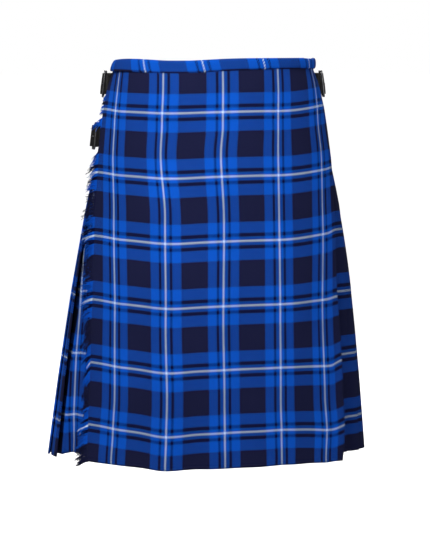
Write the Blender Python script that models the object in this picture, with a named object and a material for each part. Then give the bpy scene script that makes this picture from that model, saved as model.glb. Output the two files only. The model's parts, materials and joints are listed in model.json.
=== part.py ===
"""Scottish kilt, filled out as if worn, with nothing inside it.

One length of wool wraps the hips: a flat over apron across the front, a knife-pleated back, and an
under apron behind the over apron. A folded strip binds the waist. The over apron's edge at the
wearer's right is fringed, and three leather straps with buckles close the wrap.

Metres, +Z up. The front faces -Y and the wearer's left is +X. The origin is the middle of the waist
opening, level with the top of the waistband, and heights are given as drops below it. Angles run
round the waist from the front middle (0) by the wearer's left (90) and the back (180).
"""
import math
from collections import namedtuple

import bmesh
import bpy
import numpy as np

MM = 0.001

# Cloth and waistband
CLOTH = 1.0 * MM  # one layer of heavy wool
SEAM = 0.3 * MM  # clearance where two pieces meet
BAND_HEIGHT = 18 * MM
BAND_THICKNESS = 5 * MM
BAND_ROUND = 1.4 * MM  # how far the band's long corners are rounded off
UNDER_INSET = 5.8 * MM  # waistband of the under apron and back, inside that of the over apron
STACK_COVER = 8 * MM  # more thickness inside the back, over the folded tops of the pleats
COVER_EASE = 30 * MM  # length over which that thickness comes and goes

# Knife pleats, counted from the wearer's left round the back; their folds point onward
PLEATS = 28
PLEATS_PER_LENGTH = 14  # the pleated cloth is joined from two lengths inside a pleat
FOLD_REVEALS = 3  # each pleat runs back under this many reveals
LAST_FOLD_ANGLE = 277.0
CURL_ANGLE = 11.0  # the last fold turns in over this angle

# Over apron
APRON_STATIONS = 24
RETURN_STEPS = (12 * MM, 23 * MM, 34 * MM, 45 * MM)  # cloth turned under at the wearer's left, from the fold
RIDGE_PLACE = -80 * MM  # soft upright ridge, from the front middle
RIDGE_WIDTH = 30 * MM
UNDER_STATIONS = 18

# One row for each level of the kilt, top to hem. Widths and depths are half sizes of the over
# apron's line. back_inset: outermost pleat cloth, inside that line. layer: spacing of folded pleat
# layers. left_flare: how far the last pleats stand out at the wearer's right. curl: how far the last
# fold turns back in. right_tuck: how far the first pleats draw in under the apron's fold. apron_left
# and apron_right: cloth from the front middle to the apron's edges, toward -X and +X. roll: radius
# of the apron's fold. under_*: the under apron's half sizes and its free edge.
Level = namedtuple(
    "Level",
    "drop half_width front_depth back_depth back_inset layer left_flare curl right_tuck ridge "
    "apron_left apron_right roll under_width under_depth under_right",
)
LEVELS = (
    Level(0.018, 0.1515, 0.107, 0.112, 0.0060, 0.0015, 0.0000, 0.000, 0.000, 0.000,
          0.203, 0.197, 0.0010, 0.1457, 0.1012, 0.162),
    Level(0.045, 0.1617, 0.114, 0.121, 0.0060, 0.0015, 0.0000, 0.000, 0.000, 0.000,
          0.207, 0.1992, 0.0010, 0.1557, 0.1082, 0.164),
    Level(0.075, 0.1699, 0.120, 0.128, 0.0060, 0.0015, 0.0000, 0.000, 0.000, 0.000,
          0.211, 0.2042, 0.0010, 0.1639, 0.1140, 0.166),
    Level(0.150, 0.1832, 0.128, 0.141, 0.0056, 0.0015, 0.0000, 0.000, 0.000, 0.000,
          0.214, 0.2092, 0.0010, 0.1762, 0.1210, 0.166),
    Level(0.225, 0.1929, 0.143, 0.153, -0.0030, 0.0016, 0.0000, 0.000, 0.007, 0.001,
          0.214, 0.2112, 0.0012, 0.1849, 0.1330, 0.163),
    Level(0.350, 0.2099, 0.160, 0.165, -0.0050, 0.0019, 0.0027, 0.003, 0.023, 0.005,
          0.213, 0.2112, 0.0018, 0.1999, 0.1380, 0.158),
    Level(0.480, 0.2229, 0.162, 0.172, -0.0045, 0.0022, 0.0105, 0.007, 0.036, 0.012,
          0.215, 0.2102, 0.0025, 0.2139, 0.1340, 0.153),
    Level(0.605, 0.2339, 0.158, 0.176, -0.0035, 0.0025, 0.0180, 0.010, 0.044, 0.018,
          0.220, 0.2092, 0.0032, 0.2259, 0.1280, 0.148),
)
HEM = LEVELS[-1].drop

# Fringe along the over apron's edge at the wearer's right
FRINGE_TOP = 0.061
FRINGE_PLACES = 90
FRINGE_GAP = (0.083, 0.139)  # trimmed away under the hip strap
FRINGE_STRIP = 2.6 * MM
STRAND_WIDTH = 2.6 * MM
STRAND_TIP = 0.4  # tip size, as a share of the root
HANG_ROOM = 32 * MM  # within this of the hem the strands hang less, so none passes it
# One row for each joint of a strand: cloth-wise run, outward lift and downward hang from its root
StrandJoint = namedtuple("StrandJoint", "run lift hang size")
STRAND_JOINTS = (
    StrandJoint(11 * MM, 2.0 * MM, 4 * MM, 0.85),
    StrandJoint(21 * MM, 4.0 * MM, 13 * MM, STRAND_TIP),
)

# Straps, 32 mm leather, and their buckles
STRAP_WIDTH = 32 * MM
STRAP_THICKNESS = 2.2 * MM
SLOT_WIDTH = 4.4 * MM
TIP_WIDTH = 0.45  # width of the strap's pointed end, as a share of its width
FRAME_START = 8 * MM
FRAME_LENGTH = 26 * MM
FRAME_BAR = 4 * MM
FRAME_HEIGHT = 41 * MM
FRAME_SIDE = 3.6 * MM
FRAME_LEVEL = 2.9 * MM
FRAME_THICKNESS = 3 * MM
PRONG_WIDTH = 3 * MM
PRONG_THICKNESS = 2 * MM
TAB_THICKNESS = 2 * MM
KEEPER_START = 50 * MM
KEEPER_LENGTH = 10 * MM
KEEPER_THICKNESS = 1.5 * MM
KEEPER_FOOT = -4.0 * MM
KEEPER_TOP = 3.2 * MM

# Courses of the strap and of the buckle's tab, from the apron's edge round to the back: distance
# past the edge, height over the over apron's line, and share of the full width.
StrapStep = namedtuple("StrapStep", "past level width")
STRAP_ROOTS = (-24 * MM, -12 * MM, 0.0, 3 * MM)  # the sewn end, at the height each set gives
STRAP_STEPS = (
    StrapStep(12 * MM, -0.9 * MM, 1.0),
    StrapStep(18.5 * MM, 1.2 * MM, 1.0),
    StrapStep(29.5 * MM, 6.6 * MM, 1.0),
    StrapStep(34.5 * MM, 6.6 * MM, 1.0),
    StrapStep(46 * MM, 0.6 * MM, 1.0),
    StrapStep(62 * MM, -0.1 * MM, 1.0),
    StrapStep(80 * MM, -1.8 * MM, 1.0),
    StrapStep(86 * MM, -2.4 * MM, TIP_WIDTH),
)
TAB_STEPS = (
    StrapStep(25 * MM, 0.0, 1.0),
    StrapStep(34 * MM, 0.0, 1.0),
    StrapStep(44 * MM, -3.2 * MM, 1.0),
    StrapStep(56 * MM, -3.2 * MM, 1.0),
    StrapStep(67 * MM, -3.2 * MM, 1.0),
)
SLOT_STEP = 1  # the prong's slot lies between this step and the next

# Strap sets. side: -1 at the wearer's right, +1 at the left. root: height of the sewn end.
# upright: how far the buckle stands upright off the sloping cloth, from 0 to 1
StrapSet = namedtuple("StrapSet", "name side drop root upright")
STRAP_SETS = (
    StrapSet("right_waist", -1, 0.0395, -2.5 * MM, 0.7),
    StrapSet("right_hip", -1, 0.1180, -2.5 * MM, 0.35),
    StrapSet("left_waist", 1, 0.0395, -4.2 * MM, 0.7),
)
UPRIGHT_FROM = 7 * MM  # past the edge, the strap is upright between these two, over the buckle
UPRIGHT_TO = 36 * MM

WOOL_BLUE = (0.012, 0.100, 0.420)
WOOL_NAVY = (0.016, 0.020, 0.065)
YARN_BLUE = (0.020, 0.075, 0.330)
LEATHER_BLACK = (0.012, 0.012, 0.013)
NICKEL = (0.720, 0.710, 0.690)


def column(name, drop):
    """Size of the kilt in one column of LEVELS, at any drop."""
    return float(np.interp(drop, [row.drop for row in LEVELS], [getattr(row, name) for row in LEVELS]))


def ease(value):
    """Smooth step from 0 to 1."""
    value = np.clip(value, 0.0, 1.0)
    return value * value * (3.0 - 2.0 * value)


class Track:
    """A level curve, read by the distance along it, with its outward side."""

    def __init__(self, x, y, zero):
        steps = np.hypot(np.diff(x), np.diff(y))
        self.x = x
        self.y = y
        self.along = np.concatenate(([0.0], np.cumsum(steps)))
        self.along -= self.along[zero]

    def spot(self, along):
        return np.array((np.interp(along, self.along, self.x), np.interp(along, self.along, self.y)))

    def outward(self, along):
        run = self.spot(along + MM) - self.spot(along - MM)
        run /= np.hypot(*run)
        return np.array((run[1], -run[0]))

    def point(self, along, inset=0.0):
        return self.spot(along) - inset * self.outward(along)


def loop_track(drop, first=-175, last=480):
    """The over apron's line, carried on round the back; distance 0 at the front middle."""
    degrees = np.arange(first, last + 1)
    angles = np.radians(degrees)
    depth = np.where(np.cos(angles) > 0, column("front_depth", drop), column("back_depth", drop))
    x = column("half_width", drop) * np.sin(angles)
    y = -depth * np.cos(angles)
    track = Track(x, y, -first)
    track.degrees = degrees
    return track


def apron_track(drop):
    """The loop with the apron's soft upright ridge."""
    loop = loop_track(drop, -140, 140)
    lift = column("ridge", drop) * np.exp(-(((loop.along - RIDGE_PLACE) / RIDGE_WIDTH) ** 2))
    spots = np.array([loop.point(along, -rise) for along, rise in zip(loop.along, lift)])
    return Track(spots[:, 0], spots[:, 1], 140)


def edge_angle(drop, along):
    """Angle round the waist of a place on the over apron's line."""
    spot = loop_track(drop).spot(along)
    return math.degrees(math.atan2(spot[0] / column("half_width", drop),
                                   -spot[1] / column("front_depth", drop)))


def pleat_track(drop):
    """The line of the pleats' folds; distance 0 under the over apron's fold at the wearer's left."""
    start = edge_angle(drop, column("apron_right", drop))
    first = start - 45.0
    degrees = np.linspace(first, LAST_FOLD_ANGLE + 6.0, 361)
    angles = np.radians(degrees)
    tuck = column("right_tuck", drop) * (1.0 - ease((degrees - 60.0) / 37.0))
    flare = column("left_flare", drop) * ease((degrees - 200.0) / 60.0)
    curl = column("curl", drop) * ease((degrees - LAST_FOLD_ANGLE + CURL_ANGLE) / CURL_ANGLE)
    inset = column("back_inset", drop) + tuck - flare + curl
    depth = np.where(np.cos(angles) > 0, column("front_depth", drop), column("back_depth", drop))
    x = (column("half_width", drop) - inset) * np.sin(angles)
    y = -(depth - inset) * np.cos(angles)
    track = Track(x, y, 0)
    track.along -= np.interp(start, degrees, track.along)
    track.reveal = float(np.interp(LAST_FOLD_ANGLE, degrees, track.along)) / PLEATS
    return track


def under_track(drop):
    """The under apron's own line; distance 0 at the front middle."""
    angles = np.radians(np.arange(-100, 101))
    x = column("under_width", drop) * np.sin(angles)
    y = -column("under_depth", drop) * np.cos(angles)
    return Track(x, y, 100)


def row_drops():
    """Levels of the panels' points, from just under the waistband to the hem."""
    return [LEVELS[0].drop + SEAM] + [row.drop for row in LEVELS[1:]]


def mitred_pairs(points, thickness):
    """Points on the two faces of a wall whose middle follows a line of 2-D points."""
    points = np.array(points)
    runs = np.diff(points, axis=0)
    runs /= np.linalg.norm(runs, axis=1)[:, None]
    normals = np.column_stack((runs[:, 1], -runs[:, 0]))
    before = np.vstack((normals[:1], normals))
    after = np.vstack((normals, normals[-1:]))
    middle = before + after
    middle /= np.linalg.norm(middle, axis=1)[:, None]
    reach = 0.5 * thickness / np.sum(middle * after, axis=1)
    offset = middle * reach[:, None]
    return points + offset, points - offset


def level_wall(rows, drops):
    """Grid of outer and inner points for cloth whose rows are lines of 2-D points at given drops."""
    grid = []
    for row, drop in zip(rows, drops):
        outer, inner = mitred_pairs(row, CLOTH)
        grid.append([((*o, -drop), (*i, -drop)) for o, i in zip(outer, inner)])
    return grid


def principled(name, colour, roughness, metallic=0.0):
    material = bpy.data.materials.get(name) or bpy.data.materials.new(name)
    material.use_nodes = True
    shader = material.node_tree.nodes["Principled BSDF"]
    shader.inputs["Base Color"].default_value = (*colour, 1.0)
    shader.inputs["Roughness"].default_value = roughness
    shader.inputs["Metallic"].default_value = metallic
    material.diffuse_color = (*colour, 1.0)
    return material


def finish(name, builder, material, smooth_angle=40.0):
    """Turn a bmesh into a named object with its faces pointing out."""
    bmesh.ops.recalc_face_normals(builder, faces=builder.faces)
    mesh = bpy.data.meshes.new(name)
    builder.to_mesh(mesh)
    builder.free()
    mesh.materials.append(material)
    mesh.shade_smooth()
    mesh.set_sharp_from_angle(angle=math.radians(smooth_angle))
    item = bpy.data.objects.new(name, mesh)
    bpy.context.collection.objects.link(item)
    return item


def add_slab(builder, grid, holes=()):
    """Closed slab over a grid of outer and inner points, with some of its cells left open."""
    outer = [[builder.verts.new(pair[0]) for pair in row] for row in grid]
    inner = [[builder.verts.new(pair[1]) for pair in row] for row in grid]
    rows = len(grid) - 1
    columns = len(grid[0]) - 1
    solid = {(r, c) for r in range(rows) for c in range(columns)} - set(holes)
    for r, c in sorted(solid):
        corners = ((r, c), (r, c + 1), (r + 1, c + 1), (r + 1, c))
        builder.faces.new([outer[i][j] for i, j in corners])
        builder.faces.new([inner[i][j] for i, j in reversed(corners)])
        beside = ((r - 1, c), (r, c + 1), (r + 1, c), (r, c - 1))
        for side, neighbour in enumerate(beside):
            if neighbour not in solid:
                a = corners[side]
                b = corners[(side + 1) % 4]
                builder.faces.new((outer[b[0]][b[1]], outer[a[0]][a[1]],
                                   inner[a[0]][a[1]], inner[b[0]][b[1]]))
    return outer, inner


def slab(name, grid, material, holes=()):
    builder = bmesh.new()
    add_slab(builder, grid, holes)
    return finish(name, builder, material)


def over_apron_row(drop):
    """Fringed edge, across the front, round the fold at the wearer's left and back under."""
    track = apron_track(drop)
    left = -column("apron_left", drop)
    right = column("apron_right", drop)
    roll = column("roll", drop)
    row = [track.point(along) for along in np.linspace(left, right - roll, APRON_STATIONS)]
    row.append(track.point(right, roll))
    row.append(track.point(right - roll, 2 * roll))
    row += [track.point(right - step, 2 * roll) for step in RETURN_STEPS]
    return row


def pleat_row(drop, first, last):
    """Course of the cloth through pleats first..last: out to each fold, then back beneath it."""
    track = pleat_track(drop)
    layer = column("layer", drop)
    turn = 0.5 * layer
    row = []

    def step(station, depth, nudge=0.0):
        row.append(track.point(station * track.reveal + nudge, depth * layer))

    for pleat in range(first, last + 1):
        rear = pleat - FOLD_REVEALS
        step(rear, 2 * FOLD_REVEALS, turn)
        for station in range(rear + 1, pleat):
            step(station, 2 * (pleat - station))
        step(pleat, 0, -turn)
        step(pleat, 0.5)
        step(pleat, 1, -turn)
        for station in range(pleat - 1, rear + 1, -1):
            step(station, 2 * (pleat - station) + 1)
        step(rear + 1, 2 * FOLD_REVEALS - 1, turn)
        if pleat < last:
            step(rear + 1, 2 * FOLD_REVEALS - 0.5)
    return row


def under_apron_row(drop):
    """From beneath the last pleat at the wearer's right, across the front to the free edge."""
    pleats = pleat_track(drop)
    layer = column("layer", drop)
    flare = column("left_flare", drop) - column("curl", drop)
    row = []
    for back in (2, 1, 0):
        share = 1.0 - back / 2.0
        depth = 6 * layer + share * (flare - 4 * layer)
        row.append(pleats.point((PLEATS - back) * pleats.reveal, depth))
    track = under_track(drop)
    ahead = np.argmin(np.hypot(track.x - row[-1][0], track.y - row[-1][1]))
    start = track.along[ahead] + 0.022
    row += [track.point(along) for along in
            np.linspace(start, column("under_right", drop), UNDER_STATIONS)]
    return row


def make_panels():
    blue = principled("wool_blue", WOOL_BLUE, 0.85)
    navy = principled("wool_navy", WOOL_NAVY, 0.85)
    drops = row_drops()
    slab("over_apron", level_wall([over_apron_row(drop) for drop in drops], drops), blue)
    slab("under_apron", level_wall([under_apron_row(drop) for drop in drops], drops), navy)
    for name, first in (("pleats_left", 1), ("pleats_right", 1 + PLEATS_PER_LENGTH)):
        last = first + PLEATS_PER_LENGTH - 1
        slab(name, level_wall([pleat_row(drop, first, last) for drop in drops], drops), blue)


def band_course(track):
    """Stations of the waistband: over the apron, in behind its fold, round and under the front.

    Each has its distance along the track, its inset and its extra thickness on the inside.
    """
    left = -column("apron_left", 0.0)
    right = column("apron_right", 0.0)
    turn = np.interp(360.0, track.degrees, track.along)
    back_end = np.interp(LAST_FOLD_ANGLE, track.degrees, track.along)
    last = turn + column("under_right", 0.0)
    stations = list(np.linspace(left, right, 22))
    stations += list(np.linspace(right + 0.010, right + 0.040, 4))
    stations += list(np.linspace(right + 0.060, last, 38))
    course = []
    for along in stations:
        inset = UNDER_INSET * ease((along - right) / 0.040)
        cover = ease((along - right) / COVER_EASE) * ease((back_end - along) / COVER_EASE)
        course.append((along, inset, STACK_COVER * cover))
    return course


def make_waistband():
    """Folded strip, 5 mm thick with its turned-in edges, along the top of every panel."""
    track = loop_track(0.0)
    half = 0.5 * BAND_THICKNESS
    low = -BAND_HEIGHT
    profile = (
        (half, -BAND_ROUND), (half - BAND_ROUND, 0.0),
        (BAND_ROUND - half, 0.0), (-half, -BAND_ROUND),
        (-half, low + BAND_ROUND), (BAND_ROUND - half, low),
        (half - BAND_ROUND, low), (half, low + BAND_ROUND),
    )
    builder = bmesh.new()
    rings = []
    course = band_course(track)
    line = [track.point(along, inset) for along, inset, _ in course]
    outer, _ = mitred_pairs(line, 2.0)
    for middle, side, (_, _, cover) in zip(line, outer, course):
        away = side - middle
        rings.append([builder.verts.new((*(middle + (out - cover * (out < 0)) * away), z))
                      for out, z in profile])
    for ring, onward in zip(rings, rings[1:]):
        for k in range(len(profile)):
            n = (k + 1) % len(profile)
            builder.faces.new((ring[k], ring[n], onward[n], onward[k]))
    builder.faces.new(rings[0])
    builder.faces.new(reversed(rings[-1]))
    return finish("waistband", builder, principled("wool_band", WOOL_BLUE, 0.8))


def fringe_frames():
    """Over apron's left edge at each panel row: the edge point and its outward and onward sides."""
    frames = []
    for drop in row_drops():
        track = apron_track(drop)
        left = -column("apron_left", drop)
        out = track.outward(left)
        frames.append((drop, track.point(left), out, np.array((out[1], -out[0]))))
    return frames


def make_fringe():
    """Narrow strip beside the apron's edge with a strand drawn out of it at every pitch."""
    frames = fringe_frames()
    drops = [frame[0] for frame in frames]

    def at(drop, run, lift):
        spot = []
        for axis in range(2):
            values = [edge[axis] + lift * out[axis] + run * on[axis] for _, edge, out, on in frames]
            spot.append(np.interp(drop, drops, values))
        return (*spot, -drop)

    half = 0.5 * CLOTH
    pitch = (HEM - FRINGE_TOP) / FRINGE_PLACES
    cuts = sorted({FRINGE_TOP, HEM} | {drop for drop in drops if FRINGE_TOP < drop < HEM})
    strand_tops = [FRINGE_TOP + pitch * (k + 0.5) - 0.5 * STRAND_WIDTH for k in range(FRINGE_PLACES)]
    strand_tops = [top for top in strand_tops if not FRINGE_GAP[0] < top < FRINGE_GAP[1]]
    marks = set(cuts)
    for top in strand_tops:
        marks |= {top, top + STRAND_WIDTH}
    marks = sorted(marks)
    near = SEAM
    far = SEAM + FRINGE_STRIP

    builder = bmesh.new()
    inner_edge = {(drop, side): builder.verts.new(at(drop, near, side)) for drop in cuts
                  for side in (half, -half)}
    outer_edge = {(drop, side): builder.verts.new(at(drop, far, side)) for drop in marks
                  for side in (half, -half)}
    for upper, lower in zip(cuts, cuts[1:]):
        builder.faces.new((inner_edge[upper, half], inner_edge[lower, half],
                           inner_edge[lower, -half], inner_edge[upper, -half]))
        between = [mark for mark in marks if upper <= mark <= lower]
        for side in (half, -half):
            middle = len(between) // 2
            for k, (a, b) in enumerate(zip(between, between[1:])):
                hub = inner_edge[(upper if k < middle else lower), side]
                builder.faces.new((hub, outer_edge[a, side], outer_edge[b, side]))
            builder.faces.new((inner_edge[upper, side], inner_edge[lower, side],
                               outer_edge[between[middle], side]))
    for drop in (cuts[0], cuts[-1]):
        builder.faces.new((inner_edge[drop, half], inner_edge[drop, -half],
                           outer_edge[drop, -half], outer_edge[drop, half]))
    tops = {round(top, 9) for top in strand_tops}
    for a, b in zip(marks, marks[1:]):
        root = (outer_edge[a, half], outer_edge[a, -half], outer_edge[b, -half], outer_edge[b, half])
        if round(a, 9) in tops:
            add_strand(builder, root, at, 0.5 * (a + b), far)
        else:
            builder.faces.new(root)
    return finish("apron_fringe", builder, principled("yarn", YARN_BLUE, 0.9))


def add_strand(builder, root, at, drop, far):
    """Four-sided strand from the strip: out past the edge, then bending down to a thin tip."""
    ring = list(root)
    room = min(1.0, (HEM - drop) / HANG_ROOM)
    for joint in STRAND_JOINTS:
        deep = drop + room * joint.hang
        half = 0.5 * STRAND_WIDTH * joint.size
        thick = 0.5 * CLOTH * joint.size
        spots = ((-half, thick), (-half, -thick), (half, -thick), (half, thick))
        onward = []
        for down, out in spots:
            x, y, _ = at(deep, far + joint.run, joint.lift + out)
            onward.append(builder.verts.new((x, y, -(deep + down))))
        for k in range(4):
            n = (k + 1) % 4
            builder.faces.new((ring[k], ring[n], onward[n], onward[k]))
        ring = onward
    builder.faces.new(ring)


class StrapSpace:
    """Places points by distance past the apron's edge, height over its line, and drop."""

    def __init__(self, strap):
        edge = "apron_left" if strap.side < 0 else "apron_right"
        self.strap = strap
        self.drops = row_drops()
        self.tracks = [loop_track(drop) for drop in self.drops]
        self.edges = [column(edge, drop) for drop in self.drops]

    def point(self, past, level, across):
        drop = self.strap.drop + across
        foot = self.strap.drop + 0.5 * FRAME_HEIGHT
        spots = [track.point(self.strap.side * (edge + past), -level)
                 for track, edge in zip(self.tracks, self.edges)]
        leaning, upright = (np.array([np.interp(place, self.drops, values) for values in zip(*spots)])
                            for place in (drop, foot))
        sewn = STRAP_ROOTS[-1]
        share = ease((past - sewn) / (UPRIGHT_FROM - sewn))
        share *= ease((KEEPER_START - past) / (KEEPER_START - UPRIGHT_TO))
        x, y = leaning + self.strap.upright * share * (upright - leaning)
        return (x, y, -drop)

    def plate(self, steps, widths, thickness):
        """Grid of a plate through steps of (past, level, share of width)."""
        course = [(past, level) for past, level, _ in steps]
        upper, lower = mitred_pairs(course, thickness)
        grid = []
        for (u, v), (_, _, share) in zip(zip(upper, lower), steps):
            grid.append([(self.point(u[0], u[1], share * w), self.point(v[0], v[1], share * w))
                         for w in widths])
        return grid


def make_strap_set(strap):
    leather = principled("leather_black", LEATHER_BLACK, 0.45)
    metal = principled("nickel", NICKEL, 0.25, 1.0)
    space = StrapSpace(strap)
    half = 0.5 * STRAP_WIDTH
    slot = 0.5 * SLOT_WIDTH
    steps = [StrapStep(past, strap.root, 1.0) for past in STRAP_ROOTS]
    steps += STRAP_STEPS
    slab(f"{strap.name}_strap", space.plate(steps, (-half, -slot, slot, half), STRAP_THICKNESS),
         leather, holes={(len(STRAP_ROOTS) + SLOT_STEP, 1)})

    tall = 0.5 * FRAME_HEIGHT
    rear_bar = FRAME_START + FRAME_LENGTH - FRAME_BAR
    bars = (FRAME_START, FRAME_START + FRAME_BAR, rear_bar, FRAME_START + FRAME_LENGTH)
    frame = space.plate([(bar, FRAME_LEVEL, 1.0) for bar in bars],
                        (-tall, FRAME_SIDE - tall, tall - FRAME_SIDE, tall), FRAME_THICKNESS)
    slab(f"{strap.name}_buckle", frame, metal, holes={(1, 1)})

    rest = FRAME_LEVEL + 0.5 * (FRAME_THICKNESS + PRONG_THICKNESS) + SEAM
    prong = space.plate([(FRAME_START - MM, rest, 1.0), (FRAME_START + FRAME_BAR, rest, 1.0),
                         (rear_bar - 2 * SEAM, FRAME_LEVEL, 1.0)],
                        (-0.5 * PRONG_WIDTH, 0.5 * PRONG_WIDTH), PRONG_THICKNESS)
    slab(f"{strap.name}_prong", prong, metal)

    slab(f"{strap.name}_tab", space.plate(TAB_STEPS, (-half, half), TAB_THICKNESS), leather)

    wide = half + KEEPER_THICKNESS
    loop = ((-wide, KEEPER_FOOT), (-wide, KEEPER_TOP), (wide, KEEPER_TOP), (wide, KEEPER_FOOT))
    outer, inner = mitred_pairs(loop, KEEPER_THICKNESS)
    keeper = [[(space.point(past, o[1], o[0]), space.point(past, i[1], i[0]))
               for o, i in zip(outer, inner)]
              for past in (KEEPER_START, KEEPER_START + KEEPER_LENGTH)]
    slab(f"{strap.name}_keeper", keeper, leather)


def build():
    for item in list(bpy.data.objects):
        bpy.data.objects.remove(item, do_unlink=True)
    make_panels()
    make_waistband()
    make_fringe()
    for strap in STRAP_SETS:
        make_strap_set(strap)


build()
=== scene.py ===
import json
import math
import bpy
import bmesh
import numpy as np
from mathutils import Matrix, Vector, noise

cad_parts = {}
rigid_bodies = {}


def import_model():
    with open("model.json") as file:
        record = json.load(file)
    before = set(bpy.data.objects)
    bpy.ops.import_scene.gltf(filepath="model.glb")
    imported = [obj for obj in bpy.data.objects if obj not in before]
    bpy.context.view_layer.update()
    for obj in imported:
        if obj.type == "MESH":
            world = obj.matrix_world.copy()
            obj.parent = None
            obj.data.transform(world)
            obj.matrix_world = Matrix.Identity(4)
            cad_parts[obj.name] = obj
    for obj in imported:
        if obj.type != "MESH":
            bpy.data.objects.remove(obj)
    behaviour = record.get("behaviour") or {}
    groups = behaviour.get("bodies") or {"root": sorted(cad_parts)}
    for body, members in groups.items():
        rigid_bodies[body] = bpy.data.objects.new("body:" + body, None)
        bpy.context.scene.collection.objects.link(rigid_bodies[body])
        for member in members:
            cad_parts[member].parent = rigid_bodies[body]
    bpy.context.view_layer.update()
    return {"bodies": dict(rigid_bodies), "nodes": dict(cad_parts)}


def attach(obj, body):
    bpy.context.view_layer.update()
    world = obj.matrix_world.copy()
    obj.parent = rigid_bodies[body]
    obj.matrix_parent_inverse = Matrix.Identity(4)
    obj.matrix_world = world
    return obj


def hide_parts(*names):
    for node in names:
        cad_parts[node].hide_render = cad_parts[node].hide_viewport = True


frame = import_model()
print("frame loaded:", len(frame["nodes"]), "solids")

mm = 0.001

# the kilt's line at each drop below the waist, as the solids have it, mm
kiltShape = {
    "drop": (18, 45, 75, 150, 225, 350, 480, 605),
    "halfWidth": (151.5, 161.7, 169.9, 183.2, 192.9, 209.9, 222.9, 233.9),
    "frontDepth": (107, 114, 120, 128, 143, 160, 162, 158),
    "backDepth": (112, 121, 128, 141, 153, 165, 172, 176),
    "backInset": (6, 6, 6, 6, -1, -4.4, -4.5, -3.5),
    "layer": (1.5, 1.5, 1.5, 1.5, 1.6, 1.9, 2.2, 2.5),
    "leftFlare": (0, 0, 0, 0, 0, 2.7, 10.5, 18),
    "curl": (0, 0, 0, 0, 0, 3, 7, 10),
    "rightTuck": (0, 0, 0, 0, 7, 23, 36, 44),
    "ridge": (0, 0, 0, 0, 1, 5, 12, 18),
    "apronLeft": (203, 207, 208.5, 210, 215, 213.5, 212.5, 214),
    "apronRight": (197, 199.2, 204.2, 209.2, 211.2, 211.2, 210.2, 206),
    "roll": (1, 1, 1, 1, 1.2, 1.8, 2.5, 3.2),
    "underWidth": (145.7, 155.7, 163.9, 176.2, 184.9, 199.9, 213.9, 225.9),
    "underDepth": (101.2, 108.2, 114, 121, 133, 138, 134, 128),
    "underRight": (162, 164, 166, 166, 163, 158, 153, 148),
}
hemDrop = kiltShape["drop"][-1] * mm
clothTop = 11 * mm  # the cloth runs up inside the waistband to this drop
roundness = 0.25  # share of the smooth curve against straight lines between levels


def ease(value):
    value = np.clip(value, 0.0, 1.0)
    return value * value * (3.0 - 2.0 * value)


def hump(value):
    return np.exp(-value * value)


def squared(value, power):
    # a sine or cosine drawn out toward a square
    return np.sign(value) * np.abs(value) ** power


def roundEnd(share):
    # size of a rounded end, at this share of its length
    return 0.05 + 0.95 * math.sqrt(max(0.0, 1.0 - (1.0 - min(share, 1.0)) ** 2))


def ringTurns(sides):
    return np.radians(np.linspace(0.0, 360.0, sides, endpoint=False))


def sizeAt(name, drop):
    # smooth curve through one column of the shape
    drops, values = (np.array(kiltShape[key]) * mm for key in ("drop", name))
    slopes = np.gradient(values, drops)
    drop = float(np.clip(drop, drops[0], drops[-1]))
    k = int(np.clip(np.searchsorted(drops, drop) - 1, 0, len(drops) - 2))
    gap = drops[k + 1] - drops[k]
    t = (drop - drops[k]) / gap
    bent = ((2 * t**3 - 3 * t**2 + 1) * values[k] + (t**3 - 2 * t**2 + t) * gap * slopes[k]
            + (3 * t**2 - 2 * t**3) * values[k + 1] + (t**3 - t**2) * gap * slopes[k + 1])
    straight = values[k] + (values[k + 1] - values[k]) * t
    return float(roundness * bent + (1.0 - roundness) * straight)


def easeTable(drop, drops, rows):
    k = int(np.clip(np.searchsorted(drops, drop) - 1, 0, len(drops) - 2))
    return rows[k] + (rows[k + 1] - rows[k]) * ease((drop - drops[k]) / (drops[k + 1] - drops[k]))


def runOf(points):
    # distance along a line of points, at each of them
    return np.concatenate(([0.0], np.cumsum(np.hypot(*np.diff(points, axis=0).T))))


class Course:
    # a level curve, read by the distance along it
    def __init__(self, x, y, zero=0):
        self.x = x
        self.y = y
        self.along = runOf(np.column_stack((x, y)))
        self.along -= self.along[zero]

    def spot(self, along):
        return np.stack((np.interp(along, self.along, self.x), np.interp(along, self.along, self.y)), -1)

    def nearest(self, spot):
        return self.along[np.argmin(np.hypot(self.x - spot[0], self.y - spot[1]))]

    def outward(self, along):
        run = self.spot(along + 1.5 * mm) - self.spot(along - 1.5 * mm)
        run = run / np.linalg.norm(run, axis=-1, keepdims=True)
        return np.stack((run[..., 1], -run[..., 0]), -1)

    def at(self, along, inset=0.0):
        return self.spot(along) - np.asarray(inset)[..., None] * self.outward(along)


def ovalCourse(drop, degrees, inset, zero=0):
    angles = np.radians(degrees)
    depth = np.where(np.cos(angles) > 0, sizeAt("frontDepth", drop), sizeAt("backDepth", drop))
    return Course((sizeAt("halfWidth", drop) - inset) * np.sin(angles),
                  -(depth - inset) * np.cos(angles), zero)


def loopCourse(drop):
    # the over apron's line, carried on round the back; 0 at the front middle
    degrees = np.arange(-175, 481)
    course = ovalCourse(drop, degrees, 0.0, 175)
    course.degrees = degrees
    return course


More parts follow.
